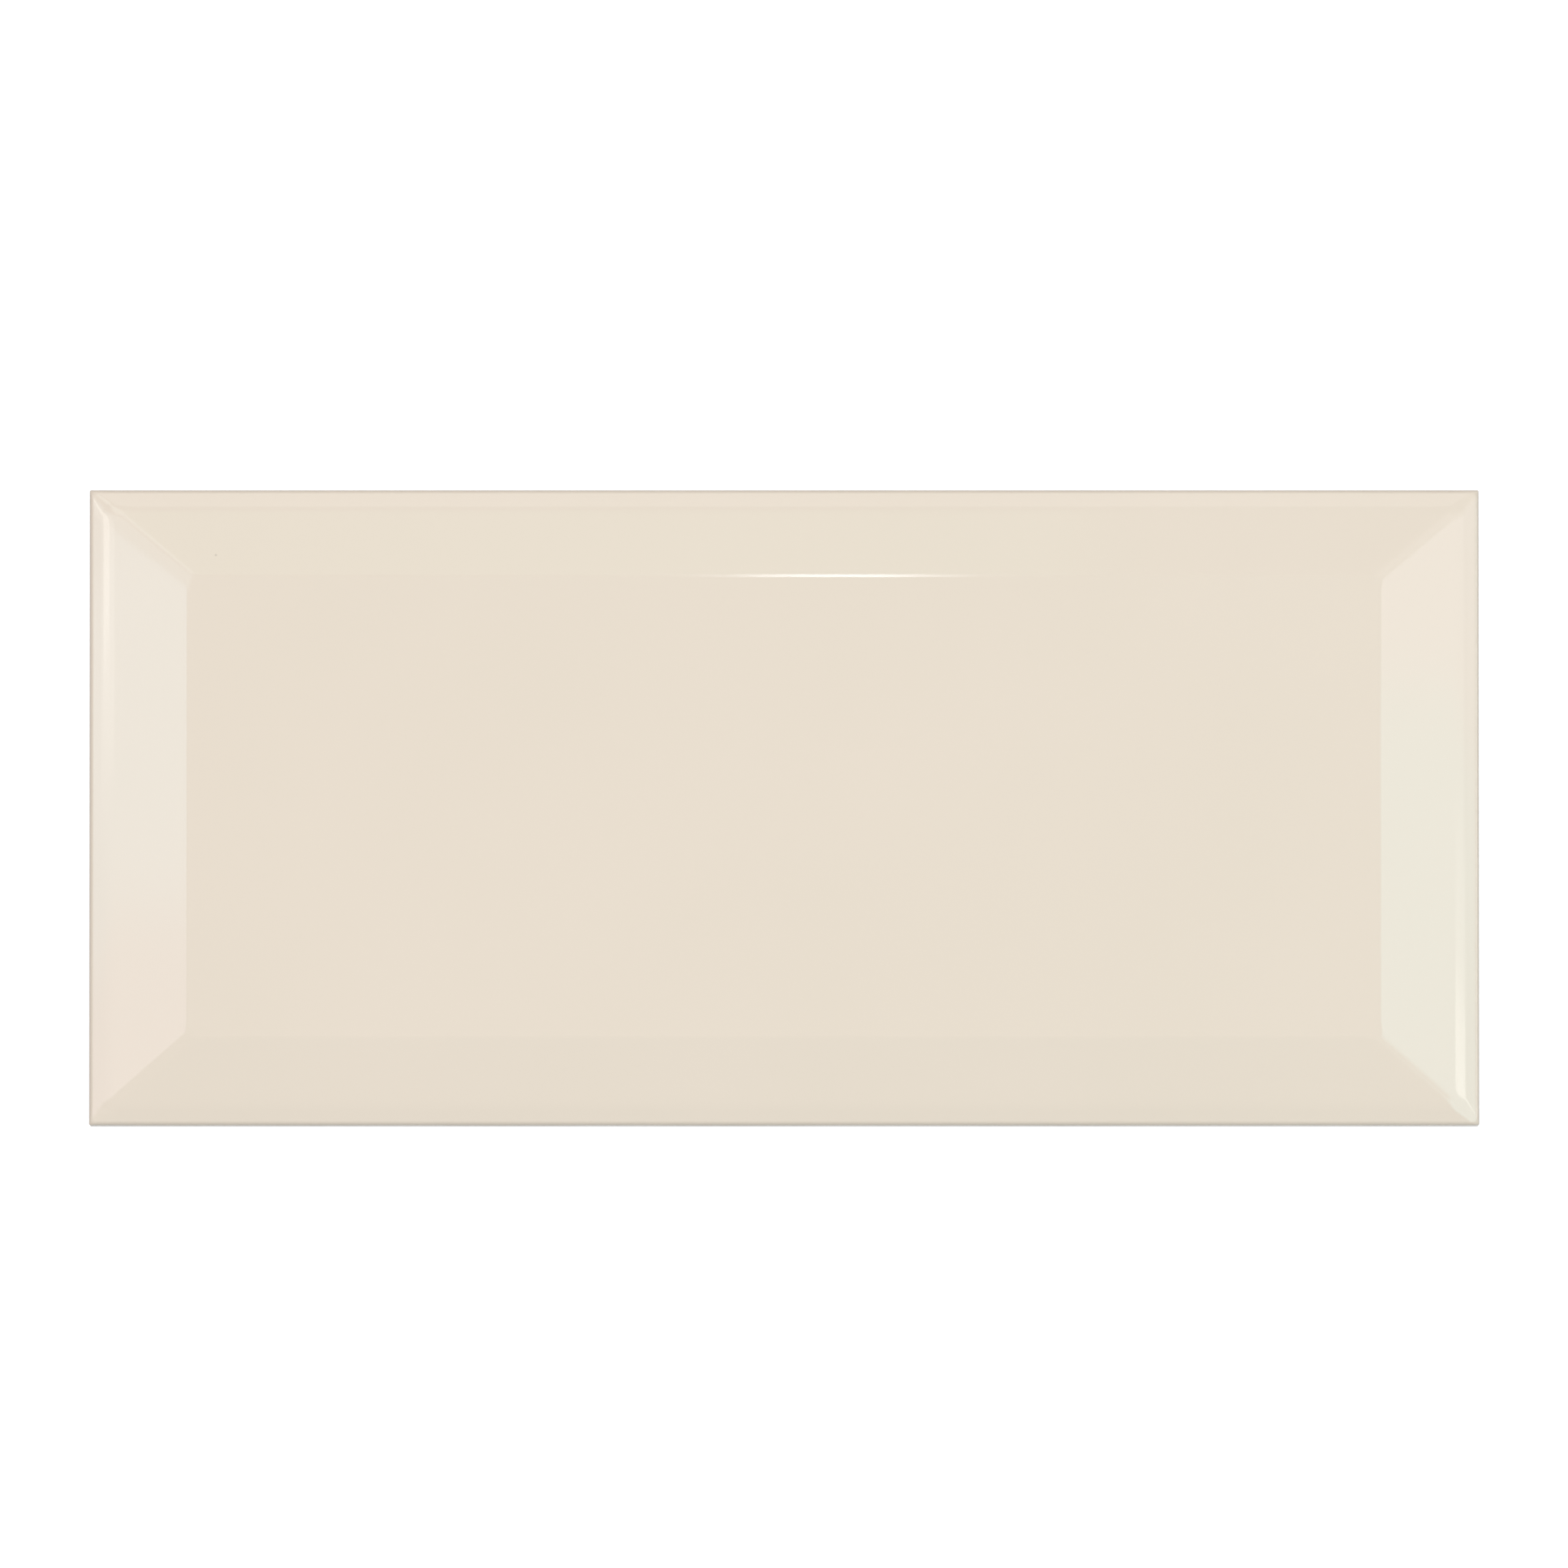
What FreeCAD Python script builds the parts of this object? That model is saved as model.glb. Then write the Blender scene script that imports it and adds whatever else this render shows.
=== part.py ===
# Bevelled subway wall tile: one dry-pressed, glazed ceramic tile.
#
# The tile lies on its back. X runs along its length, Y across it and Z up through
# the glazed face. The origin is the centre of the back, on the plane of the ribs
# that bed into the adhesive. All sizes are in millimetres.
#
# The form is the one that the press die gives: a wall relieved towards the back,
# an upright land under the glaze, a bevel on all four sides that starts steep at
# the rim and flattens at a knee, and a flat face with rounded corners. The back
# has a grid of shallow drafted pockets that key into the adhesive.

import FreeCAD, Part
import math
import os
from enum import IntEnum

import Sketcher

SIZES = [
    ("length", 218.4, "overall length"),
    ("width", 100.0, "overall width"),
    ("thickness", 8.5, "back to glazed face"),
    ("edge_height", 5.5, "back to the rim where the bevel starts"),
    ("outline_radius", 0.8, "corner radius of the outline in plan"),
    ("end_bevel", 15.5, "width of the bevels at the two short ends"),
    ("side_bevel", 13.7, "width of the bevels along the two long sides"),
    ("knee_inset", 3.0, "from the rim in to the knee, where the steep start of the bevel ends"),
    ("knee_rise", 0.95, "height of the knee above the rim"),
    ("knee_round", 16.0, "rounding that blends the bevel through the knee"),
    ("face_round", 4.0, "rounding between bevel and flat face"),
    ("ridge_round", 8.0, "rounding of the four mitred ridges"),
    ("rim_round", 0.7, "rounding of the glazed rim"),
    ("land_height", 2.5, "upright part of the wall below the rim"),
    ("wall_relief", 0.12, "how far the back stands inside the land on each side"),
    ("back_chamfer", 0.5, "chamfer around the back"),
    ("back_margin", 6.5, "plain margin around the pockets of the back"),
    ("cells_along", 10, "pockets along the length"),
    ("cells_across", 4, "pockets across the width"),
    ("rib_width", 2.5, "rib between two pockets"),
    ("pocket_depth", 0.8, "depth of the pockets"),
    ("pocket_draft", 25.0, "draft of the pocket walls, in degrees"),
    ("pocket_radius", 1.5, "corner radius of a pocket in plan"),
    ("cutter_clearance", 5.0, "how far the bevel cuts reach beyond the block"),
]


class Sketched(IntEnum):
    """Which end of an edge is meant, and the two axes that a sketch is measured from."""

    START = 1
    END = 2
    HORIZONTAL_AXIS = -1
    VERTICAL_AXIS = -2


START, END = Sketched.START, Sketched.END
HORIZONTAL_AXIS, VERTICAL_AXIS = Sketched.HORIZONTAL_AXIS, Sketched.VERTICAL_AXIS
ORIGIN = (HORIZONTAL_AXIS, START)

QUARTER_TURN = math.pi / 2
ON_LEVEL = 1e-4  # how near, in mm, an edge lies to the level it is picked by

doc = FreeCAD.newDocument("subway_tile")
sheet = doc.addObject("Spreadsheet::Sheet", "sizes")
for row, (alias, value, meaning) in enumerate(SIZES, start=1):
    sheet.set(f"A{row}", meaning)
    sheet.set(f"B{row}", str(value))
    sheet.setAlias(f"B{row}", alias)
doc.recompute()

tile = doc.addObject("PartDesign::Body", "bevelled_tile")
tile.Label = "bevelled_tile"


def origin_feature(role):
    """The plane or axis of the tile's own origin that has this role."""
    return next(feature for feature in tile.Origin.OriginFeatures if feature.Role == role)


def drive(sketch, name, constraint, expression):
    """Adds a named constraint whose value is this expression on the spreadsheet."""
    sketch.renameConstraint(sketch.addConstraint(constraint), name)
    sketch.setExpression(f"Constraints.{name}", expression)


def rounded_rectangle(label, level, length, width, radius, centre_x="0", centre_y="0"):
    """A fully constrained rounded rectangle, parallel to the back at this level.

    Level, sizes and centre are expressions on the spreadsheet.
    """
    sketch = tile.newObject("Sketcher::SketchObject", label)
    sketch.AttachmentSupport = [(origin_feature("XY_Plane"), "")]
    sketch.MapMode = "FlatFace"
    sketch.setExpression("AttachmentOffset.Base.x", centre_x)
    sketch.setExpression("AttachmentOffset.Base.y", centre_y)
    sketch.setExpression("AttachmentOffset.Base.z", level)

    # The geometry starts as a plain stand-in, and the constraints below bring it to size
    corner_radius = 1.0
    half_x = 20.0
    half_y = 10.0
    straight_x = half_x - corner_radius
    straight_y = half_y - corner_radius

    def line(x1, y1, x2, y2):
        return Part.LineSegment(FreeCAD.Vector(x1, y1, 0), FreeCAD.Vector(x2, y2, 0))

    def corner(x, y, turn):
        circle = Part.Circle(FreeCAD.Vector(x, y, 0), FreeCAD.Vector(0, 0, 1), corner_radius)
        return Part.ArcOfCircle(circle, turn, turn + QUARTER_TURN)

    sketch.addGeometry([
        line(-straight_x, -half_y, straight_x, -half_y),
        corner(straight_x, -straight_y, -QUARTER_TURN),
        line(half_x, -straight_y, half_x, straight_y),
        corner(straight_x, straight_y, 0.0),
        line(straight_x, half_y, -straight_x, half_y),
        corner(-straight_x, straight_y, QUARTER_TURN),
        line(-half_x, straight_y, -half_x, -straight_y),
        corner(-straight_x, -straight_y, 2 * QUARTER_TURN),
    ])
    front, front_right, right, back_right, back, back_left, left, front_left = range(8)
    sketch.addConstraint([
        Sketcher.Constraint("Tangent", front, END, front_right, START),
        Sketcher.Constraint("Tangent", front_right, END, right, START),
        Sketcher.Constraint("Tangent", right, END, back_right, START),
        Sketcher.Constraint("Tangent", back_right, END, back, START),
        Sketcher.Constraint("Tangent", back, END, back_left, START),
        Sketcher.Constraint("Tangent", back_left, END, left, START),
        Sketcher.Constraint("Tangent", left, END, front_left, START),
        Sketcher.Constraint("Tangent", front_left, END, front, START),
        Sketcher.Constraint("Equal", front_right, back_right),
        Sketcher.Constraint("Equal", front_right, back_left),
        Sketcher.Constraint("Equal", front_right, front_left),
        Sketcher.Constraint("Symmetric", front, START, front, END, VERTICAL_AXIS),
        Sketcher.Constraint("Symmetric", left, START, left, END, HORIZONTAL_AXIS),
        Sketcher.Constraint("Horizontal", back),
        Sketcher.Constraint("Vertical", right),
    ])
    across = Sketcher.Constraint("DistanceX", left, END, right, START, 2 * half_x)
    up = Sketcher.Constraint("DistanceY", front, END, back, START, 2 * half_y)
    drive(sketch, "length", across, length)
    drive(sketch, "width", up, width)
    drive(sketch, "radius", Sketcher.Constraint("Radius", front_right, corner_radius), radius)
    return sketch


def edges_where(feature, wanted):
    """The names of a feature's edges whose bounding boxes meet this condition."""
    return [
        f"Edge{number}"
        for number, edge in enumerate(feature.Shape.Edges, start=1)
        if wanted(edge.BoundBox)
    ]


def round_edges(label, base, edges, radius):
    """Rounds these edges of the base feature. The radius is an expression."""
    fillet = tile.newObject("PartDesign::Fillet", label)
    fillet.Base = (base, edges)
    fillet.setExpression("Radius", radius)
    doc.recompute()
    return fillet


def bevel_profile(label, plane, span, bevel):
    """The part that the press die keeps clear over one bevel, seen along that bevel.

    It rises steeply from the rim to the knee, then at a low slope to the face. The knee
    is held by a point where the two slopes would meet, and an arc blends it. Span and
    bevel are the spreadsheet's names for the size across the tile and for the width of
    the bevel.
    """
    sketch = tile.newObject("Sketcher::SketchObject", label)
    sketch.AttachmentSupport = [(origin_feature(plane), "")]
    sketch.MapMode = "FlatFace"

    rim = FreeCAD.Vector(getattr(sheet, span) / 2, sheet.edge_height, 0)
    knee = rim + FreeCAD.Vector(-sheet.knee_inset, sheet.knee_rise, 0)
    face = FreeCAD.Vector(rim.x - getattr(sheet, bevel), sheet.thickness, 0)
    outside = rim.x + sheet.cutter_clearance
    above = sheet.thickness + sheet.cutter_clearance
    steep = math.atan2(knee.y - rim.y, rim.x - knee.x)
    slope = math.atan2(face.y - knee.y, knee.x - face.x)

    up_steep = FreeCAD.Vector(-math.cos(steep), math.sin(steep), 0)
    up_slope = FreeCAD.Vector(-math.cos(slope), math.sin(slope), 0)
    knee_tangent = sheet.knee_round * math.tan((steep - slope) / 2)
    start = rim - up_steep * (sheet.cutter_clearance / math.cos(steep))
    knee_start = knee - up_steep * knee_tangent
    knee_end = knee + up_slope * knee_tangent
    below_knee = FreeCAD.Vector(math.sin(slope), math.cos(slope), 0) * sheet.knee_round
    knee_circle = Part.Circle(knee_end - below_knee, FreeCAD.Vector(0, 0, 1), sheet.knee_round)
    top_inner = FreeCAD.Vector(face.x, above, 0)
    top_outer = FreeCAD.Vector(outside, above, 0)

    sketch.addGeometry([
        Part.LineSegment(start, knee_start),
        Part.ArcOfCircle(knee_circle, QUARTER_TURN - steep, QUARTER_TURN - slope),
        Part.LineSegment(knee_end, face),
        Part.LineSegment(face, top_inner),
        Part.LineSegment(top_inner, top_outer),
        Part.LineSegment(top_outer, start),
    ])
    steep_line, knee_arc, slope_line, inner_wall, ceiling, outer_wall = range(6)
    rim_point = sketch.addGeometry(Part.Point(rim), True)
    knee_point = sketch.addGeometry(Part.Point(knee), True)
    sketch.addConstraint([
        Sketcher.Constraint("Tangent", steep_line, END, knee_arc, START),
        Sketcher.Constraint("Tangent", knee_arc, END, slope_line, START),
        Sketcher.Constraint("Coincident", slope_line, END, inner_wall, START),
        Sketcher.Constraint("Coincident", inner_wall, END, ceiling, START),
        Sketcher.Constraint("Coincident", ceiling, END, outer_wall, START),
        Sketcher.Constraint("Coincident", outer_wall, END, steep_line, START),
        Sketcher.Constraint("Vertical", inner_wall),
        Sketcher.Constraint("Horizontal", ceiling),
        Sketcher.Constraint("Vertical", outer_wall),
        Sketcher.Constraint("PointOnObject", rim_point, START, steep_line),
        Sketcher.Constraint("PointOnObject", knee_point, START, steep_line),
        Sketcher.Constraint("PointOnObject", knee_point, START, slope_line),
    ])

    # A vertex is an edge and which of its points, and its place is given from the origin
    for name, vertex, at, across, up in [
        (
            "rim",
            (rim_point, START),
            rim,
            f"sizes.{span} / 2",
            "sizes.edge_height",
        ),
        (
            "knee",
            (knee_point, START),
            knee,
            f"sizes.{span} / 2 - sizes.knee_inset",
            "sizes.edge_height + sizes.knee_rise",
        ),
        (
            "face",
            (slope_line, END),
            face,
            f"sizes.{span} / 2 - sizes.{bevel}",
            "sizes.thickness",
        ),
        (
            "clearance",
            (ceiling, END),
            top_outer,
            f"sizes.{span} / 2 + sizes.cutter_clearance",
            "sizes.thickness + sizes.cutter_clearance",
        ),
    ]:
        drive(sketch, f"{name}_across", Sketcher.Constraint("DistanceX", *ORIGIN, *vertex, at.x), across)
        drive(sketch, f"{name}_height", Sketcher.Constraint("DistanceY", *ORIGIN, *vertex, at.y), up)
    knee_radius = Sketcher.Constraint("Radius", knee_arc, sheet.knee_round)
    drive(sketch, "knee_round", knee_radius, "sizes.knee_round")
    return sketch


def cut_bevels(label, profile, mirror_plane):
    """Cuts the profile through the tile's whole length, and again on the other side."""
    cut = tile.newObject("PartDesign::Pocket", label)
    cut.Profile = profile
    cut.Type = "ThroughAll"
    cut.Midplane = True
    doc.recompute()
    both = tile.newObject("PartDesign::Mirrored", f"{label}_mirrored")
    both.Originals = [cut]
    both.MirrorPlane = (origin_feature(mirror_plane), [""])
    tile.Tip = both
    doc.recompute()
    return both


# The block: the wall relieved towards the back, then upright

foot_outline = rounded_rectangle(
    "foot_outline",
    "0",
    "sizes.length - 2 * sizes.wall_relief",
    "sizes.width - 2 * sizes.wall_relief",
    "sizes.outline_radius",
)
land_outline = rounded_rectangle(
    "land_outline",
    "sizes.edge_height - sizes.land_height",
    "sizes.length",
    "sizes.width",
    "sizes.outline_radius",
)
top_outline = rounded_rectangle(
    "top_outline",
    "sizes.thickness",
    "sizes.length",
    "sizes.width",
    "sizes.outline_radius",
)
block = tile.newObject("PartDesign::AdditiveLoft", "block")
block.Profile = foot_outline
block.Sections = [land_outline, top_outline]
block.Ruled = True
doc.recompute()

# The bevels, which meet in four mitred ridges

rim_level = sheet.edge_height
side_profile = bevel_profile("side_profile", "YZ_Plane", "width", "side_bevel")
side_bevels = cut_bevels("side_bevel", side_profile, "XZ_Plane")
end_profile = bevel_profile("end_profile", "XZ_Plane", "length", "end_bevel")
end_bevels = cut_bevels("end_bevel", end_profile, "YZ_Plane")

# The glaze softens the ridges, then the border of the face and the rim, whose
# roundings run over the ends of the ridges

corner_rise = sheet.outline_radius * sheet.knee_rise / sheet.knee_inset
ridge_starts = edges_where(
    end_bevels,
    lambda box: rim_level < box.ZMin < rim_level + corner_rise < box.ZMax,
)
ridge_rounding = round_edges("ridge_rounding", end_bevels, ridge_starts, "sizes.ridge_round")
face_border = edges_where(ridge_rounding, lambda box: box.ZMin > sheet.thickness - ON_LEVEL)
face_rounding = round_edges("face_rounding", ridge_rounding, face_border, "sizes.face_round")
rim_edges = edges_where(
    face_rounding,
    lambda box: box.ZMin > rim_level - ON_LEVEL and box.ZMax < rim_level + corner_rise,
)
rim_rounding = round_edges("rim_rounding", face_rounding, rim_edges, "sizes.rim_round")

# The back: a chamfer around the foot and the grid of pockets

foot_edges = edges_where(rim_rounding, lambda box: box.ZMax < ON_LEVEL)
foot_chamfer = tile.newObject("PartDesign::Chamfer", "foot_chamfer")
foot_chamfer.Base = (rim_rounding, foot_edges)
foot_chamfer.setExpression("Size", "sizes.back_chamfer")
doc.recompute()

POCKET_LENGTH = (
    "((sizes.length - 2 * sizes.back_margin + sizes.rib_width) / sizes.cells_along"
    " - sizes.rib_width)"
)
POCKET_WIDTH = (
    "((sizes.width - 2 * sizes.back_margin + sizes.rib_width) / sizes.cells_across"
    " - sizes.rib_width)"
)
pocket_outline = rounded_rectangle(
    "pocket_outline",
    "0",
    POCKET_LENGTH,
    POCKET_WIDTH,
    "sizes.pocket_radius",
    f"{POCKET_LENGTH} / 2 + sizes.back_margin - sizes.length / 2",
    f"{POCKET_WIDTH} / 2 + sizes.back_margin - sizes.width / 2",
)
first_pocket = tile.newObject("PartDesign::Pocket", "first_pocket")
first_pocket.Profile = pocket_outline
first_pocket.Reversed = True
first_pocket.setExpression("Length", "sizes.pocket_depth")
first_pocket.setExpression("TaperAngle", "-sizes.pocket_draft")

doc.recompute()
pocket_grid = tile.newObject("PartDesign::LinearPattern", "pocket_grid")
pocket_grid.Originals = [first_pocket]
pocket_grid.Direction = (origin_feature("X_Axis"), [""])
pocket_grid.Direction2 = (origin_feature("Y_Axis"), [""])
pocket_grid.Mode = "Spacing"
pocket_grid.Mode2 = "Spacing"
pocket_grid.setExpression("Offset", f"{POCKET_LENGTH} + sizes.rib_width")
pocket_grid.setExpression("Offset2", f"{POCKET_WIDTH} + sizes.rib_width")
pocket_grid.setExpression("Occurrences", "sizes.cells_along")
pocket_grid.setExpression("Occurrences2", "sizes.cells_across")
pocket_grid.Spacings2 = [-1.0] * (int(sheet.cells_across) - 1)  # each step keeps the even offset
tile.Tip = pocket_grid
doc.recompute()

# Checks, then one STEP file for the tile

failed = [item.Label for item in doc.Objects if {"Invalid", "Error"} & set(item.State)]
if failed:
    raise RuntimeError(f"these features failed: {', '.join(failed)}")
if tile.Shape.isNull() or not tile.Shape.isValid() or len(tile.Shape.Solids) != 1:
    raise RuntimeError("the tile isn't one valid solid")

pocket_floors = [
    face
    for face in tile.Shape.Faces
    if max(abs(face.BoundBox.ZMin - sheet.pocket_depth), abs(face.BoundBox.ZMax - sheet.pocket_depth))
    < ON_LEVEL
]
if len(pocket_floors) != sheet.cells_along * sheet.cells_across:
    raise RuntimeError(f"the back has {len(pocket_floors)} pockets")

os.makedirs("parts", exist_ok=True)
tile.Shape.exportStep(os.path.join("parts", f"{tile.Label}.step"))

box = tile.Shape.optimalBoundingBox()
print(f"tile {box.XLength:.2f} x {box.YLength:.2f} x {box.ZLength:.2f} mm")
print(f"{len(pocket_floors)} pockets, {len(tile.Shape.Faces)} faces, {tile.Shape.Volume / 1000:.2f} cm3")
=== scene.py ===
# Bevelled wall tile: one pressed clay body under a glossy cream glaze, lying on its back.

import math

import bpy
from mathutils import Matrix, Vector, noise


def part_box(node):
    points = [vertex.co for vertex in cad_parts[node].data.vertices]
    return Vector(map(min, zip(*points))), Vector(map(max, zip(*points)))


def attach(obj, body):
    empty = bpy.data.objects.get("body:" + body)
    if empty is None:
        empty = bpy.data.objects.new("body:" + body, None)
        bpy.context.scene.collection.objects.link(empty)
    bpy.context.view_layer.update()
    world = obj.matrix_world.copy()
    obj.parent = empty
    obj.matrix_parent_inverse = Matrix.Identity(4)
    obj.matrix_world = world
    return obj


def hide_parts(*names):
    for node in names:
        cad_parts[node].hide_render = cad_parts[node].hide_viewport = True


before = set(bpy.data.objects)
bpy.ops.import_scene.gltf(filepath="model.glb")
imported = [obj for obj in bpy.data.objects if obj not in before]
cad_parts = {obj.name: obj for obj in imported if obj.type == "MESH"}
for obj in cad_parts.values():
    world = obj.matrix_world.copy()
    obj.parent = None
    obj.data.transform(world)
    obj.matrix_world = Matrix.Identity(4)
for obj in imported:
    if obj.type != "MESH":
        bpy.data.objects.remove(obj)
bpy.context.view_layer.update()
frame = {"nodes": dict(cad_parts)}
scene = bpy.context.scene
print("frame loaded:", ", ".join(frame["nodes"]))

millimetre = 0.001
metre = 1000.0  # in millimetres


def hexToLinear(hexColour):
    channels = [int(hexColour[start:start + 2], 16) / 255 for start in (1, 3, 5)]
    linear = [
        channel / 12.92 if channel <= 0.04045 else ((channel + 0.055) / 1.055) ** 2.4
        for channel in channels
    ]
    return (*linear, 1.0)


# A Mix node has several sockets of each name, so the ones for colours go by number
mixShare, mixFrom, mixTo, mixed = 0, 6, 7, 2


def addNode(tree, kind, settings=None, values=None, links=None):
    # settings are the node's own, values and links go to its inputs by name or number
    node = tree.nodes.new(kind)
    for name, value in (settings or {}).items():
        setattr(node, name, value)
    for name, value in (values or {}).items():
        node.inputs[name].default_value = value
    for name, output in (links or {}).items():
        tree.links.new(output, node.inputs[name])
    return node


def evenly(start, end, count):
    return [start + (end - start) * step / count for step in range(count + 1)]


# The tile's shape in millimetres. Its length, width and thickness come from the frame.
tileShape = {
    "rimHeight": 5.5,
    "rimRound": 0.8,
    "kneeInset": 3.0,  # the bevel starts steep and bends over at the knee
    "kneeRise": 0.95,
    "kneeRound": 16.0,
    "endBevel": 15.5,
    "sideBevel": 13.7,
    "faceRound": 4.0,
    "wallCorner": 0.25,  # radii of the rings' corners, which round the mitred ridges
    "rimCorner": 1.1,
    "steepCorner": 2.0,
    "slopeCorner": 1.6,
    "faceCorner": 2.8,
    "leastCorner": 0.1,
    "wallRelief": 0.1,  # the bare wall stands back from the glaze
    "wallHeights": (1.4, 2.7),  # of the rings up the bare wall
    "footChamfer": 0.5,
    "edgeBlur": 0.03,  # pressed clay has no quite sharp edge
    "glazeLine": 4.1,  # mean height where the glaze ends on the wall
    "glazeWander": 0.45,  # how far the line strays from it
    "wanderWaves": ((21.0, 0.7), (5.5, 0.3)),  # (size, share of the wander)
    "glazeLip": 0.07,
    # (share of the lip, rise above the line, thinness) where the glaze ends
    "glazeEnd": ((1.0, -0.06, 1.0), (0.7, 0.0, 1.0), (0.2, 0.07, 0.7), (0.0, 0.2, 0.4)),
    "rimThinness": 0.15,  # from 0 for a full coat to 1 for hardly any
}

# The back has a grid of shallow pockets between ribs, in millimetres
backShape = {
    "cellsAlong": 10,
    "cellsAcross": 4,
    "margin": 6.5,
    "ribWidth": 2.5,
    "depth": 0.8,
    "draft": math.radians(25.0),
    "corner": 1.5,
    "edgeRound": 0.16,
}

# How finely the mesh is cut, as counts of steps. The last two are in millimetres.
meshSteps = {
    "cell": 8,
    "corner": 4,  # for half of a corner's arc
    "margin": 2,
    "rim": 8,
    "steep": 2,
    "knee": 10,
    "slope": 6,
    "face": 7,
    "pocketCorner": 2,  # for half of a corner's arc
    "pocketEdge": 3,
    "faceGuards": (1, 4),  # rings past the face's border, so many guards further in
    "guard": 0.15,  # from an arc to the ring that keeps the flat beside it flat
    "cornerMargin": 1.0,  # from the face's corner arcs to its even cells
}

low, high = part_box("bevelled_tile")
tileLength = (high[0] - low[0]) * metre
tileWidth = (high[1] - low[1]) * metre
tileThickness = (high[2] - low[2]) * metre

cornerSteps = meshSteps["corner"] + meshSteps["margin"]
innerAlong = backShape["cellsAlong"] * meshSteps["cell"]
innerAcross = backShape["cellsAcross"] * meshSteps["cell"]
columns = innerAlong + 2 * cornerSteps
rows = innerAcross + 2 * cornerSteps
blockMargin = backShape["margin"] - backShape["ribWidth"] / 2  # from wall to cells

vertices = []
thinness = []  # how thin the glaze has run at each vertex, 0 to 1
faces = []
faceSurfaces = []
glazed, bare = 0, 1


def addVertex(x, y, z, thin=0.0):
    vertices.append((x * millimetre, y * millimetre, z * millimetre))
    thinness.append(thin)
    return len(vertices) - 1


def addFace(corners, surface, facesDown):
    faces.append(corners[::-1] if facesDown else corners)
    faceSurfaces.append(surface)


def alongSide(half, radius, zone, inner, arcSteps, marginSteps):
    # (position, sink, straightness) for each station of one side, corner to corner.
    # Sink is how far a corner's arc leaves the side. Straightness is 1 on the side and
    # falls to 0.5 at the middle of the arc.
    start = []
    for share in evenly(0, 1, arcSteps):
        angle = math.pi / 4 * (1 - share)
        position = -half + radius * (1 - math.sin(angle))
        start.append((position, radius * (1 - math.cos(angle)), 0.5 + share / 2))
    for step in range(marginSteps):
        share = (step + 1) / marginSteps
        start.append((-half + radius + (zone - radius) * share, 0.0, 1.0))
    middle = [(x, 0.0, 1.0) for x in evenly(start[-1][0], -start[-1][0], inner)[1:-1]]
    end = [(-x, sink, straight) for x, sink, straight in reversed(start)]
    return start + middle + end


def aroundRectangle(halfX, halfY, radius, zone, inner, arcSteps, marginSteps):
    # (x, y, share) counter-clockwise from the front left corner. The share is 0 on the
    # ends, 1 on the long sides, and runs from one to the other round each corner.
    along = alongSide(halfX, radius, zone, inner[0], arcSteps, marginSteps)
    across = alongSide(halfY, radius, zone, inner[1], arcSteps, marginSteps)
    return (
        [(x, sink - halfY, straight) for x, sink, straight in along[:-1]]
        + [(halfX - sink, y, 1 - straight) for y, sink, straight in across[:-1]]
        + [(x, halfY - sink, straight) for x, sink, straight in along[:0:-1]]
        + [(sink - halfX, y, 1 - straight) for y, sink, straight in across[:0:-1]]
    )


def tileRing(endInset, sideInset, endHeight, sideHeight, radius, zone, thin=0.0):
    # one ring round the tile, whose ends and long sides may differ a little in height
    points = aroundRectangle(
        tileLength / 2 - endInset, tileWidth / 2 - sideInset, radius, zone,
        (innerAlong, innerAcross), meshSteps["corner"], meshSteps["margin"],
    )
    return [
        addVertex(x, y, endHeight + (sideHeight - endHeight) * share, thin)
        for x, y, share in points
    ]


def bridge(outer, inner, surface, facesDown=False):
    for step in range(len(outer)):
        after = (step + 1) % len(outer)
        corners = (outer[step], outer[after], inner[after], inner[step])
        addFace(corners, surface, facesDown)


def gridInside(ring, across, down, inside):
    # vertex numbers of a grid whose border is the ring; inside(i, j) gives the rest
    grid = {}
    for i in range(across):
        grid[i, 0] = ring[i]
        grid[across - i, down] = ring[across + down + i]
    for j in range(down):
        grid[across, j] = ring[across + j]
        grid[0, down - j] = ring[2 * across + down + j]
    for i in range(1, across):
        for j in range(1, down):
            grid[i, j] = inside(i, j)
    return grid


def fillGrid(grid, across, down, surface, facesDown=False, leaveOut=lambda i, j: False):
    for i in range(across):
        for j in range(down):
            if not leaveOut(i, j):
                corners = (grid[i, j], grid[i + 1, j], grid[i + 1, j + 1], grid[i, j + 1])
                addFace(corners, surface, facesDown)


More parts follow.
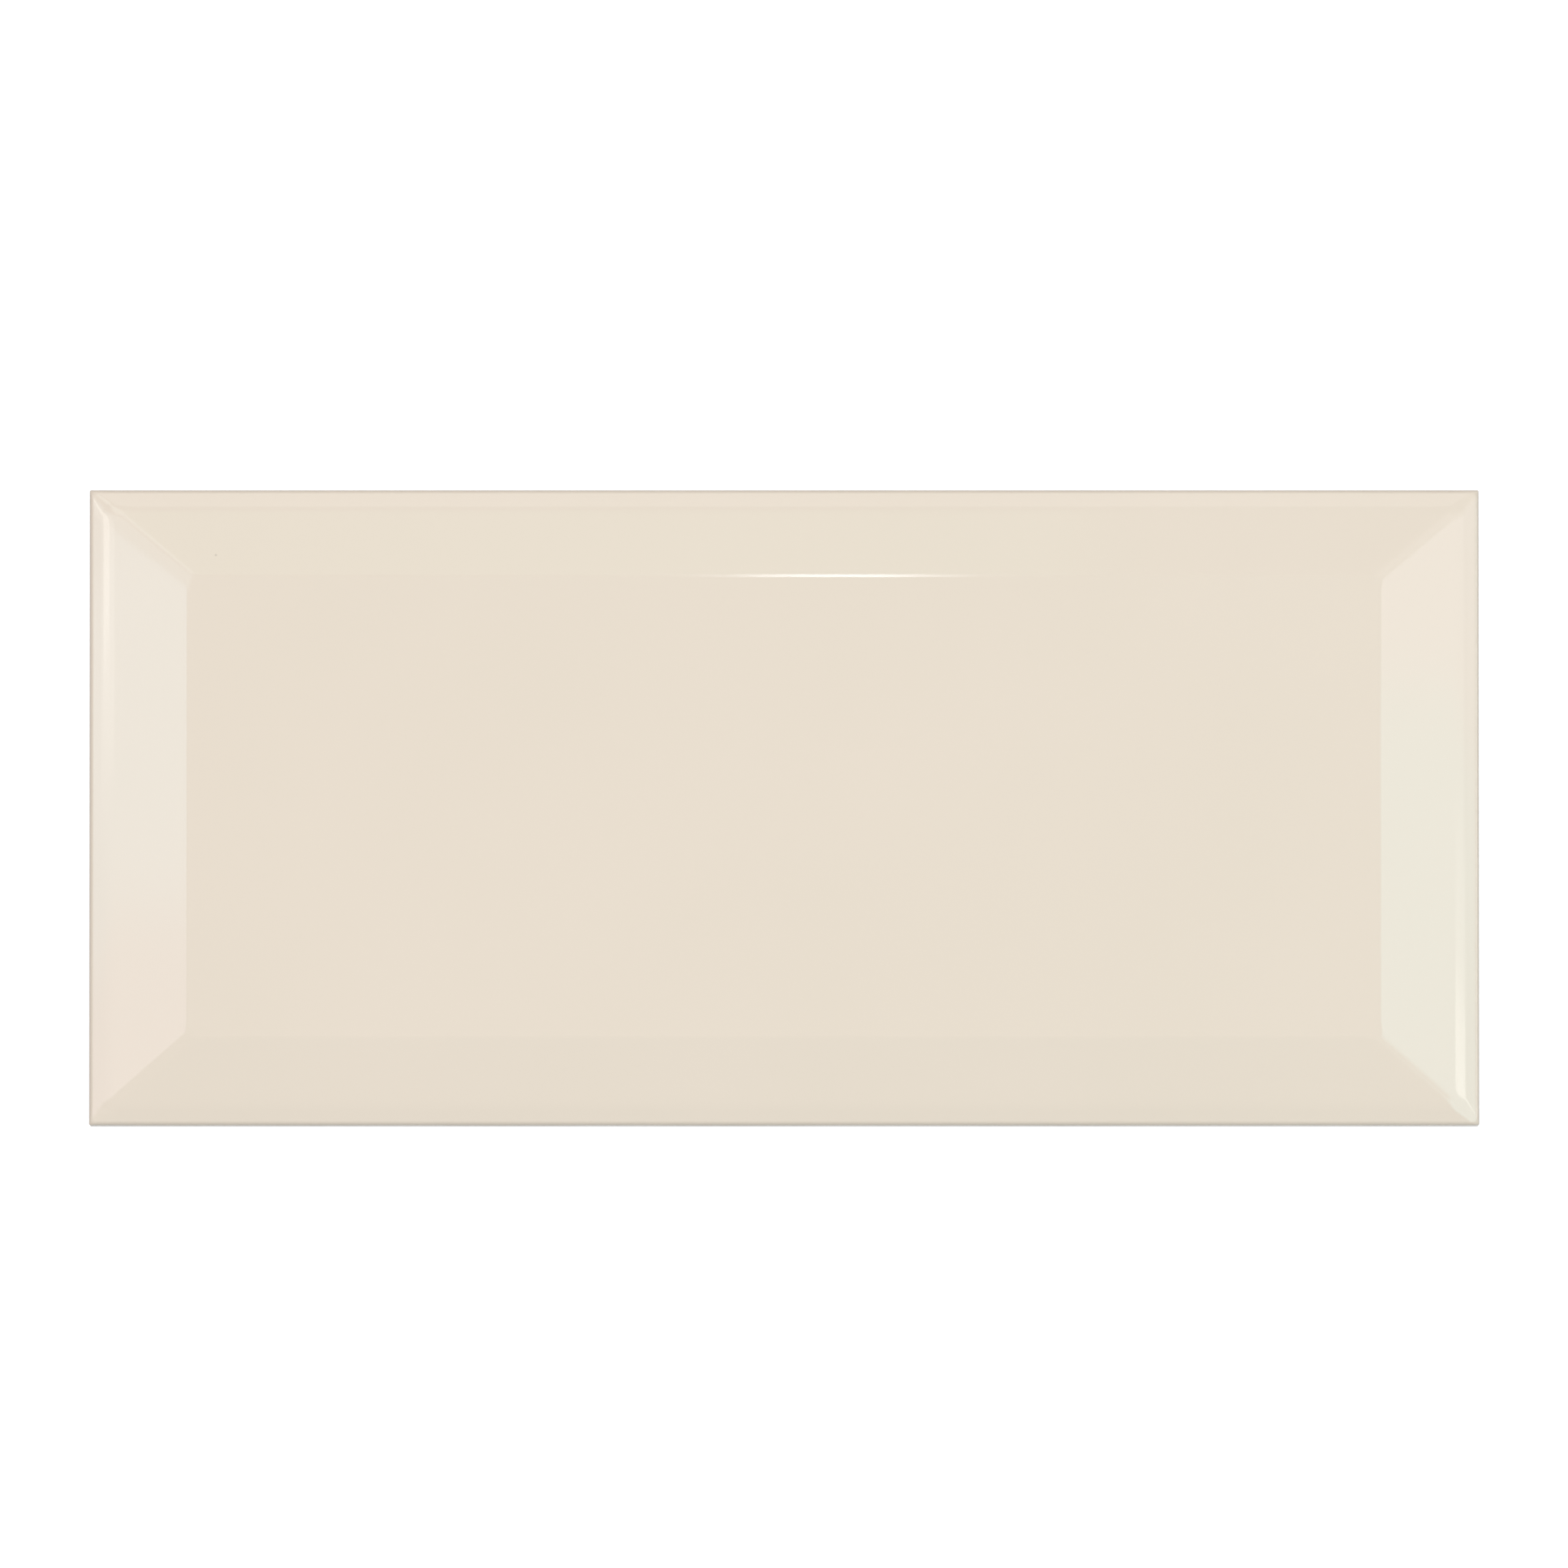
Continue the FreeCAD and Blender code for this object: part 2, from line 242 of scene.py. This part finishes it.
def bevelProfile(bevel):
    # (inset, height, corner radius, thinness) from the wall's top to the flat face
    shape, steps = tileShape, meshSteps
    steep = math.atan2(shape["kneeRise"], shape["kneeInset"])
    kneeHeight = shape["rimHeight"] + shape["kneeRise"]
    slope = math.atan2(tileThickness - kneeHeight, bevel - shape["kneeInset"])
    profile = []

    def arc(centre, radius, start, end, count, corners, thins):
        for share in evenly(0, 1, count):
            angle = start + (end - start) * share
            profile.append((
                centre[0] - radius * math.sin(angle),
                centre[1] + radius * math.cos(angle),
                corners[0] + (corners[1] - corners[0]) * share,
                thins[0] + (thins[1] - thins[0]) * share,
            ))

    def line(end, count):
        # the arcs have its ends, so it keeps a guard's distance from both
        start = profile[-1]
        guard = steps["guard"] / math.hypot(end[0] - start[0], end[1] - start[1])
        for share in evenly(guard, 1 - guard, count):
            profile.append(tuple(a + (b - a) * share for a, b in zip(start, end)))

    rim, knee, face = shape["rimRound"], shape["kneeRound"], shape["faceRound"]
    rimCentre = (rim, shape["rimHeight"] + rim * math.tan(steep) - rim / math.cos(steep))
    kneeReach = knee * math.tan((steep - slope) / 2)
    kneeStart = (
        shape["kneeInset"] - kneeReach * math.cos(steep),
        kneeHeight - kneeReach * math.sin(steep),
    )
    faceReach = face * math.tan(slope / 2)
    faceStart = (
        bevel - faceReach * math.cos(slope),
        tileThickness - faceReach * math.sin(slope),
    )
    arc(rimCentre, rim, math.pi / 2, steep, steps["rim"],
        (shape["wallCorner"], shape["rimCorner"]), (shape["rimThinness"], 0.0))
    line((*kneeStart, shape["steepCorner"], 0.0), steps["steep"])
    arc((kneeStart[0] + knee * math.sin(steep), kneeStart[1] - knee * math.cos(steep)),
        knee, steep, slope, steps["knee"],
        (shape["steepCorner"], shape["slopeCorner"]), (0.0, 0.0))
    line((*faceStart, shape["slopeCorner"], 0.0), steps["slope"])
    arc((faceStart[0] + face * math.sin(slope), faceStart[1] - face * math.cos(slope)),
        face, slope, 0.0, steps["face"],
        (shape["slopeCorner"], shape["faceCorner"]), (0.0, 0.0))
    for guards in steps["faceGuards"]:
        inset, height, corner, thin = profile[-1]
        profile.append((inset + guards * steps["guard"], height, corner, thin))
    return profile


def pressPocket(border, centre, half):
    # the die's pocket: rib edge, drafted wall, floor
    shape, steps = backShape, meshSteps
    turn = math.pi / 2 - shape["draft"]
    edge, depth = shape["edgeRound"], shape["depth"]
    reach = edge * math.tan(turn / 2)
    foot = depth * math.tan(shape["draft"]) + reach
    profile = [(-reach - steps["guard"], 0.0)]
    for angle in evenly(0, turn, steps["pocketEdge"]):
        profile.append((edge * math.sin(angle) - reach, edge - edge * math.cos(angle)))
    for angle in evenly(turn, 0, steps["pocketEdge"]):
        sunk = depth - edge + edge * math.cos(angle)
        profile.append((foot - edge * math.sin(angle), sunk))
    profile.append((foot + steps["guard"], depth))

    cell, arcSteps = steps["cell"], steps["pocketCorner"]
    inner = cell - 2 * arcSteps
    outer = border
    for inset, sunk in profile:
        fromCell = shape["ribWidth"] / 2 + inset
        radius = shape["corner"] - inset
        points = aroundRectangle(
            half[0] - fromCell, half[1] - fromCell, radius, radius,
            (inner, inner), arcSteps, 0,
        )
        ring = [addVertex(centre[0] + x, centre[1] + y, sunk) for x, y, _ in points]
        bridge(outer, ring, bare, facesDown=True)
        outer = ring

    def inside(i, j):
        return addVertex(centre[0] + points[i][0], centre[1] + points[cell + j][1], depth)

    fillGrid(gridInside(outer, cell, cell, inside), cell, cell, bare, facesDown=True)


def pressBack(foot):
    # the margin, the ribs and the pockets inside the tile's foot
    cell = meshSteps["cell"]
    xs = [vertices[foot[i]][0] * metre for i in range(columns + 1)]
    ys = [vertices[foot[columns + j]][1] * metre for j in range(rows + 1)]

    def inBlock(i, j, reach):
        # among the cells, for a corner of the grid with reach 0 or a face with reach 1
        along, across = i - cornerSteps, j - cornerSteps
        return 0 <= along <= innerAlong - reach and 0 <= across <= innerAcross - reach

    def inside(i, j):
        onRib = (i - cornerSteps) % cell == 0 or (j - cornerSteps) % cell == 0
        if inBlock(i, j, 0) and not onRib:
            return None  # a pocket's own rings come here
        return addVertex(xs[i], ys[j], 0.0)

    grid = gridInside(foot, columns, rows, inside)
    fillGrid(
        grid, columns, rows, bare, facesDown=True,
        leaveOut=lambda i, j: inBlock(i, j, 1),
    )
    for i in range(cornerSteps, cornerSteps + innerAlong, cell):
        for j in range(cornerSteps, cornerSteps + innerAcross, cell):
            border = (
                [grid[i + k, j] for k in range(cell)]
                + [grid[i + cell, j + k] for k in range(cell)]
                + [grid[i + cell - k, j + cell] for k in range(cell)]
                + [grid[i, j + cell - k] for k in range(cell)]
            )
            centre = ((xs[i] + xs[i + cell]) / 2, (ys[j] + ys[j + cell]) / 2)
            half = ((xs[i + cell] - xs[i]) / 2, (ys[j + cell] - ys[j]) / 2)
            pressPocket(border, centre, half)


def wallRings():
    # (ring, surface of the band below it): foot chamfer, bare clay, the glaze's end
    shape = tileShape
    relief, chamfer, blur = shape["wallRelief"], shape["footChamfer"], shape["edgeBlur"]
    rings = []

    def wallRing(inset, height, surface, thin=0.0):
        corner = max(shape["wallCorner"] - inset, shape["leastCorner"])
        zone = blockMargin - inset
        ring = tileRing(inset, inset, height, height, corner, zone, thin)
        rings.append((ring, surface))
        return ring

    wallRing(relief + chamfer, 0.0, bare)
    wallRing(relief + chamfer - blur, blur, bare)
    wallRing(relief + blur, chamfer - blur, bare)
    wallRing(relief, chamfer + blur, bare)
    for height in shape["wallHeights"]:
        wallRing(relief, height, bare)
    # the glaze ran down the wall before it was wiped, so its end wanders
    for step, (lipShare, rise, thin) in enumerate(shape["glazeEnd"]):
        surface = glazed if step else bare
        inset, height = shape["glazeLip"] * lipShare, shape["glazeLine"] + rise
        for index in wallRing(inset, height, surface, thin):
            x, y, z = vertices[index]
            place = Vector((x, y, 0.0)) * metre
            wander = sum(
                share * noise.noise(place / size)
                for size, share in shape["wanderWaves"]
            )
            vertices[index] = (x, y, z + wander * shape["glazeWander"] * millimetre)
    return rings


def buildTile():
    shape, steps = tileShape, meshSteps
    rings = wallRings()
    pressBack(rings[0][0])
    ends, sides = bevelProfile(shape["endBevel"]), bevelProfile(shape["sideBevel"])
    belowRim = ends[0][1] - steps["guard"]
    corner, thin = shape["wallCorner"], shape["glazeEnd"][-1][2]
    ring = tileRing(0.0, 0.0, belowRim, belowRim, corner, blockMargin, thin)
    rings.append((ring, glazed))
    faceZone = shape["faceCorner"] + steps["cornerMargin"]
    for end, side in zip(ends, sides):
        share = end[0] / shape["endBevel"]
        zone = blockMargin + (faceZone - blockMargin) * share
        ring = tileRing(end[0], side[0], end[1], side[1], end[2], zone, end[3])
        rings.append((ring, glazed))
    for (outer, _), (inner, surface) in zip(rings, rings[1:]):
        bridge(outer, inner, surface)

    border = rings[-1][0]

    def inside(i, j):
        x, y = vertices[border[i]][0], vertices[border[columns + j]][1]
        return addVertex(x * metre, y * metre, tileThickness)

    fillGrid(gridInside(border, columns, rows, inside), columns, rows, glazed)

    mesh = bpy.data.meshes.new("glazedTile")
    mesh.from_pydata(vertices, [], faces)
    mesh.polygons.foreach_set("use_smooth", [True] * len(faces))
    mesh.polygons.foreach_set("material_index", faceSurfaces)
    coat = mesh.attributes.new("glazeThinness", "FLOAT", "POINT")
    coat.data.foreach_set("value", thinness)
    mesh.update()
    tile = bpy.data.objects.new("glazedTile", mesh)
    scene.collection.objects.link(tile)
    return tile


tile = buildTile()
print("tile built:", len(faces), "faces")


# Glossy cream glaze, opacified with zircon, dipped and fired: a smooth glassy skin that
# mirrors the lamps, and lets the warm body show where it is thin at the rim and below.
creamGlaze = {
    "colour": "#EAD8C6",
    "deepColour": "#E6D5C2",
    "thinColour": "#DCCABD",
    "speckColour": "#6B5138",
    "ior": 1.52,
    "roughness": 0.06,
    "cloudSize": 45.0,  # mm, patches where the glaze is a little thicker
    "pullSize": 26.0,  # mm, slow waves of a glaze that has levelled
    "pullHeight": 0.004,
    "peelSize": 3.4,  # mm, orange peel
    "peelHeight": 0.0005,
    "speckPlace": (-89.33, 39.6, 7.9),  # mm, a speck of iron fired into the glaze
    "speckCore": 0.066,  # mm from its middle, with all of its colour up to here
    "speckReach": 0.264,  # mm, and none from here
    "speckShare": 0.25,  # it lies deep, so only this much of its colour shows
}


def dippedCreamGlaze():
    look = creamGlaze
    material = bpy.data.materials.new("dippedCreamGlaze")
    material.use_nodes = True
    tree = material.node_tree
    tree.nodes.clear()
    place = addNode(tree, "ShaderNodeTexCoord").outputs["Object"]

    clouds = addNode(
        tree, "ShaderNodeTexNoise",
        values={"Scale": metre / look["cloudSize"], "Detail": 3.0},
        links={"Vector": place},
    )
    clouded = addNode(
        tree, "ShaderNodeMix", {"data_type": "RGBA"},
        {mixFrom: hexToLinear(look["colour"]), mixTo: hexToLinear(look["deepColour"])},
        {mixShare: clouds.outputs["Fac"]},
    )
    thin = addNode(tree, "ShaderNodeAttribute", {"attribute_name": "glazeThinness"})
    thinned = addNode(
        tree, "ShaderNodeMix", {"data_type": "RGBA"},
        {mixTo: hexToLinear(look["thinColour"])},
        {mixShare: thin.outputs["Fac"], mixFrom: clouded.outputs[mixed]},
    )
    fromSpeck = addNode(
        tree, "ShaderNodeVectorMath", {"operation": "DISTANCE"},
        {1: [side * millimetre for side in look["speckPlace"]]}, {0: place},
    )
    speck = addNode(
        tree, "ShaderNodeMapRange",
        values={
            "From Min": look["speckCore"] * millimetre,
            "From Max": look["speckReach"] * millimetre,
            "To Min": look["speckShare"], "To Max": 0.0,
        },
        links={"Value": fromSpeck.outputs["Value"]},
    )
    colour = addNode(
        tree, "ShaderNodeMix", {"data_type": "RGBA"},
        {mixTo: hexToLinear(look["speckColour"])},
        {mixShare: speck.outputs["Result"], mixFrom: thinned.outputs[mixed]},
    )

    normal = None
    for wave in ("pull", "peel"):
        waves = addNode(
            tree, "ShaderNodeTexNoise",
            values={"Scale": metre / look[wave + "Size"], "Detail": 1.0},
            links={"Vector": place},
        )
        links = {"Height": waves.outputs["Fac"]}
        if normal:
            links["Normal"] = normal
        bump = addNode(
            tree, "ShaderNodeBump",
            values={"Strength": 1.0, "Distance": look[wave + "Height"] * millimetre},
            links=links,
        )
        normal = bump.outputs["Normal"]
    surface = addNode(
        tree, "ShaderNodeBsdfPrincipled",
        values={"Roughness": look["roughness"], "IOR": look["ior"]},
        links={"Base Color": colour.outputs[mixed], "Normal": normal},
    )
    addNode(tree, "ShaderNodeOutputMaterial", links={"Surface": surface.outputs["BSDF"]})
    return material


# Dry-pressed white-firing clay, left bare: matt, faintly granular, a warm off-white with
# the odd darker grain, and paler kiln wash rubbed on the ribs it stood on.
pressedClay = {
    "colour": "#DFCFBB",
    "grainColour": "#CDB79E",
    "washColour": "#ECE7DF",
    "ior": 1.5,
    "roughness": 0.85,
    "grainSize": 0.9,  # mm, about three times as coarse as the powder, so that it shows
    "grainHeight": 0.03,
    "grainSpan": (0.5, 0.75),  # of the noise, in which a grain goes from pale to dark
    "grainShare": 0.7,
    "blotchSize": 30.0,
    "washDepth": 0.05,  # mm up from the ribs' tops
    "washSpan": (0.4, 0.6),  # of the noise, in which the wash goes from none to most
    "washShare": 0.8,
}


def dryPressedClay():
    look = pressedClay
    material = bpy.data.materials.new("dryPressedClay")
    material.use_nodes = True
    tree = material.node_tree
    tree.nodes.clear()
    place = addNode(tree, "ShaderNodeTexCoord").outputs["Object"]
    grains = addNode(
        tree, "ShaderNodeTexNoise",
        values={"Scale": metre / look["grainSize"], "Detail": 4.0, "Roughness": 0.65},
        links={"Vector": place},
    )
    blotches = addNode(
        tree, "ShaderNodeTexNoise",
        values={"Scale": metre / look["blotchSize"], "Detail": 4.0},
        links={"Vector": place},
    )
    grainShare = addNode(
        tree, "ShaderNodeMapRange",
        values={"From Min": look["grainSpan"][0], "From Max": look["grainSpan"][1],
                "To Max": look["grainShare"]},
        links={"Value": grains.outputs["Fac"]},
    )
    grained = addNode(
        tree, "ShaderNodeMix", {"data_type": "RGBA"},
        {mixFrom: hexToLinear(look["colour"]), mixTo: hexToLinear(look["grainColour"])},
        {mixShare: grainShare.outputs["Result"]},
    )
    height = addNode(tree, "ShaderNodeSeparateXYZ", links={"Vector": place})
    onRib = addNode(
        tree, "ShaderNodeMapRange",
        values={"From Min": 0.0, "From Max": look["washDepth"] * millimetre,
                "To Min": 1.0, "To Max": 0.0},
        links={"Value": height.outputs["Z"]},
    )
    rubbed = addNode(
        tree, "ShaderNodeMapRange",
        values={"From Min": look["washSpan"][0], "From Max": look["washSpan"][1],
                "To Max": look["washShare"]},
        links={"Value": blotches.outputs["Fac"]},
    )
    washShare = addNode(
        tree, "ShaderNodeMath", {"operation": "MULTIPLY"},
        links={0: onRib.outputs["Result"], 1: rubbed.outputs["Result"]},
    )
    washed = addNode(
        tree, "ShaderNodeMix", {"data_type": "RGBA"},
        {mixTo: hexToLinear(look["washColour"])},
        {mixShare: washShare.outputs["Value"], mixFrom: grained.outputs[mixed]},
    )
    bump = addNode(
        tree, "ShaderNodeBump",
        values={"Strength": 1.0, "Distance": look["grainHeight"] * millimetre},
        links={"Height": grains.outputs["Fac"]},
    )
    surface = addNode(
        tree, "ShaderNodeBsdfPrincipled",
        values={"Roughness": look["roughness"], "IOR": look["ior"]},
        links={"Base Color": washed.outputs[mixed], "Normal": bump.outputs["Normal"]},
    )
    addNode(tree, "ShaderNodeOutputMaterial", links={"Surface": surface.outputs["BSDF"]})
    return material


tile.data.materials.append(dippedCreamGlaze())
tile.data.materials.append(dryPressedClay())
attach(tile, "root")
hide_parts("bevelled_tile")
print("glaze and clay finished")


# A white table and a white room. The table keeps the tile's shadow.
studio = {
    "tableSize": 8.0,  # m
    "tableDrop": 0.02,  # mm, so that the ribs don't share a plane with it
    "tableColour": "#909090",  # grey under the lamps, with the tile's shadow in it
    "tableLift": 0.87,  # added where it is seen, so that the open table is white
    "roomColour": "#FFFFFF",
    "roomSeen": 1.0,  # the room's strength where it is seen, and as light
    "roomLight": 0.3,
}

# Softboxes hang level above the tile and aren't seen themselves. Places are in mm from
# the tile's middle, and radiance is what a mirror would show of them. The ceiling
# lights it all. The bevels of the ends mirror the windows, with their low and high
# parts: a core hangs just below each, so that its light falls off in steps. Corners
# light the rounded ridges, strips make the bright lines along rim and border, and the
# rest lights the rims and the bevel at the back.
softboxes = {
    "ceiling": {
        "x": (-1700, 935), "y": (-980, 1420), "z": 1250,
        "radiance": 0.78, "tint": "#FFFCFC",
    },
    "leftWindow": {
        "x": (-1070, -430), "y": (57, 400), "z": 1210,
        "radiance": 1.1, "tint": "#CDEEFF",
    },
    "leftWindowCore": {
        "x": (-1070, -430), "y": (57, 133), "z": 1200,
        "radiance": 1.2, "tint": "#CDEEFF",
    },
    "leftCorner": {
        "x": (-430, -200), "y": (125, 400), "z": 1210,
        "radiance": 1.0, "tint": "#CDEEFF",
    },
    "leftLow": {
        "x": (-1070, -430), "y": (-190, 57), "z": 1210,
        "radiance": 0.76, "tint": "#F8E9FC",
    },
    "leftLowCore": {
        "x": (-1070, -430), "y": (-120, 57), "z": 1200,
        "radiance": 0.75, "tint": "#F8E9FC",
    },
    "leftStrip": {
        "x": (-965, -560), "y": (86, 310), "z": 1180,
        "radiance": 1.0, "tint": "#FFFAF4",
    },
    "leftStripCore": {
        "x": (-905, -710), "y": (113, 280), "z": 1190,
        "radiance": 1.8, "tint": "#FFFAF4",
    },
    "rightWindow": {
        "x": (320, 1070), "y": (-800, 100), "z": 1210,
        "radiance": 0.9, "tint": "#AEF6FF",
    },
    "rightWindowCore": {
        "x": (360, 1070), "y": (-650, 100), "z": 1200,
        "radiance": 0.82, "tint": "#AEF6FF",
    },
    "rightCorner": {
        "x": (240, 360), "y": (-800, -280), "z": 1205,
        "radiance": 1.4, "tint": "#AEF6FF",
    },
    "rightHigh": {
        "x": (400, 1070), "y": (100, 400), "z": 1210,
        "radiance": 0.73, "tint": "#F4F0FF",
    },
    "rightHighCore": {
        "x": (400, 1070), "y": (100, 240), "z": 1200,
        "radiance": 0.73, "tint": "#F4F0FF",
    },
    "rightHighCorner": {
        "x": (230, 400), "y": (300, 530), "z": 1205,
        "radiance": 0.45, "tint": "#F4F0FF",
    },
    "rightStrip": {
        "x": (600, 940), "y": (-80, 78), "z": 1180,
        "radiance": 0.6, "tint": "#FFFAF4",
    },
    "rightStripCore": {
        "x": (590, 905), "y": (-60, 44.5), "z": 1190,
        "radiance": 2.0, "tint": "#FFFAF4",
    },
    "rightEdge": {
        "x": (935, 1600), "y": (-370, 400), "z": 1170,
        "radiance": 0.5, "tint": "#FFFFFF",
    },
    "rightFar": {
        "x": (1600, 5200), "y": (-370, 400), "z": 1160,
        "radiance": 2.6, "tint": "#FFFFFF",
    },
    "backCorner": {
        "x": (-420, -150), "y": (440, 700), "z": 1205,
        "radiance": 0.95, "tint": "#E8F4FF",
    },
    "backPanel": {
        "x": (-400, 60), "y": (500, 720), "z": 1220,
        "radiance": 0.4, "tint": "#BCFFD0",
    },
    "backEdge": {
        "x": (-300, 300), "y": (850, 1300), "z": 1170,
        "radiance": 0.75, "tint": "#FFFFFF",
    },
    "backStrip": {
        "x": (-4, 25), "y": (215, 500), "z": 1200,
        "radiance": 9.0, "tint": "#F2F8FF",
    },
}


def seenShare(tree, seen, unseen):
    # one value where the eye or a reflection sees a surface, another where it only lights
    path = addNode(tree, "ShaderNodeLightPath")
    glossy = addNode(
        tree, "ShaderNodeMath", {"operation": "MAXIMUM"},
        links={0: path.outputs["Is Camera Ray"], 1: path.outputs["Is Glossy Ray"]},
    )
    clear = addNode(
        tree, "ShaderNodeMath", {"operation": "MAXIMUM"},
        links={0: glossy.outputs["Value"], 1: path.outputs["Is Transmission Ray"]},
    )
    strength = addNode(
        tree, "ShaderNodeMapRange", values={"To Min": unseen, "To Max": seen},
        links={"Value": clear.outputs["Value"]},
    )
    return strength.outputs["Result"]


def layTable():
    half = studio["tableSize"] / 2
    drop = -studio["tableDrop"] * millimetre
    mesh = bpy.data.meshes.new("table")
    signs = [(-1, -1), (1, -1), (1, 1), (-1, 1)]
    corners = [(x * half, y * half, drop) for x, y in signs]
    mesh.from_pydata(corners, [], [(0, 1, 2, 3)])
    table = bpy.data.objects.new("table", mesh)
    scene.collection.objects.link(table)
    material = bpy.data.materials.new("mattWhiteTable")
    material.use_nodes = True
    tree = material.node_tree
    tree.nodes.clear()
    paper = addNode(
        tree, "ShaderNodeBsdfDiffuse",
        values={"Color": hexToLinear(studio["tableColour"])},
    )
    lift = addNode(
        tree, "ShaderNodeEmission",
        links={"Strength": seenShare(tree, studio["tableLift"], 0.0)},
    )
    both = addNode(
        tree, "ShaderNodeAddShader",
        links={0: paper.outputs["BSDF"], 1: lift.outputs["Emission"]},
    )
    addNode(tree, "ShaderNodeOutputMaterial", links={"Surface": both.outputs["Shader"]})
    mesh.materials.append(material)


def paintRoom():
    room = bpy.data.worlds.new("whiteRoom")
    scene.world = room
    room.use_nodes = True
    tree = room.node_tree
    tree.nodes.clear()
    light = addNode(
        tree, "ShaderNodeBackground",
        values={"Color": hexToLinear(studio["roomColour"])},
        links={"Strength": seenShare(tree, studio["roomSeen"], studio["roomLight"])},
    )
    addNode(tree, "ShaderNodeOutputWorld", links={"Surface": light.outputs["Background"]})


def hangSoftboxes():
    for name, box in softboxes.items():
        lamp = bpy.data.lights.new(name, "AREA")
        lamp.shape = "RECTANGLE"
        lamp.size = (box["x"][1] - box["x"][0]) * millimetre
        lamp.size_y = (box["y"][1] - box["y"][0]) * millimetre
        lamp.energy = box["radiance"] * math.pi * lamp.size * lamp.size_y
        lamp.color = hexToLinear(box["tint"])[:3]
        hung = bpy.data.objects.new(name, lamp)
        middle = [sum(box[axis]) / 2 for axis in "xy"]
        hung.location = Vector((*middle, box["z"])) * millimetre
        hung.visible_camera = False
        scene.collection.objects.link(hung)


# The camera stands almost straight above, a little to the front
view = {
    "distance": 6000.0,  # mm
    "tilt": math.radians(3.5),
    "aim": (-0.03, 3.69, 5.5),
    "frameWidth": 246.45,  # mm of the object's plane across the picture
    "sensorWidth": 36.0,
    "clipEnd": 20.0,  # m
}


def placeCamera():
    camera = bpy.data.cameras.new("overhead")
    camera.sensor_width = view["sensorWidth"]
    camera.sensor_fit = "HORIZONTAL"
    camera.lens = camera.sensor_width * view["distance"] / view["frameWidth"]
    camera.clip_end = view["clipEnd"]
    hung = bpy.data.objects.new("overhead", camera)
    away = Vector((0.0, -math.sin(view["tilt"]), math.cos(view["tilt"])))
    hung.location = (Vector(view["aim"]) + away * view["distance"]) * millimetre
    hung.rotation_euler = (view["tilt"], 0.0, 0.0)
    scene.collection.objects.link(hung)
    scene.camera = hung


layTable()
paintRoom()
hangSoftboxes()
placeCamera()
scene.view_settings.view_transform = "Standard"
print("table, room, lamps and camera placed")
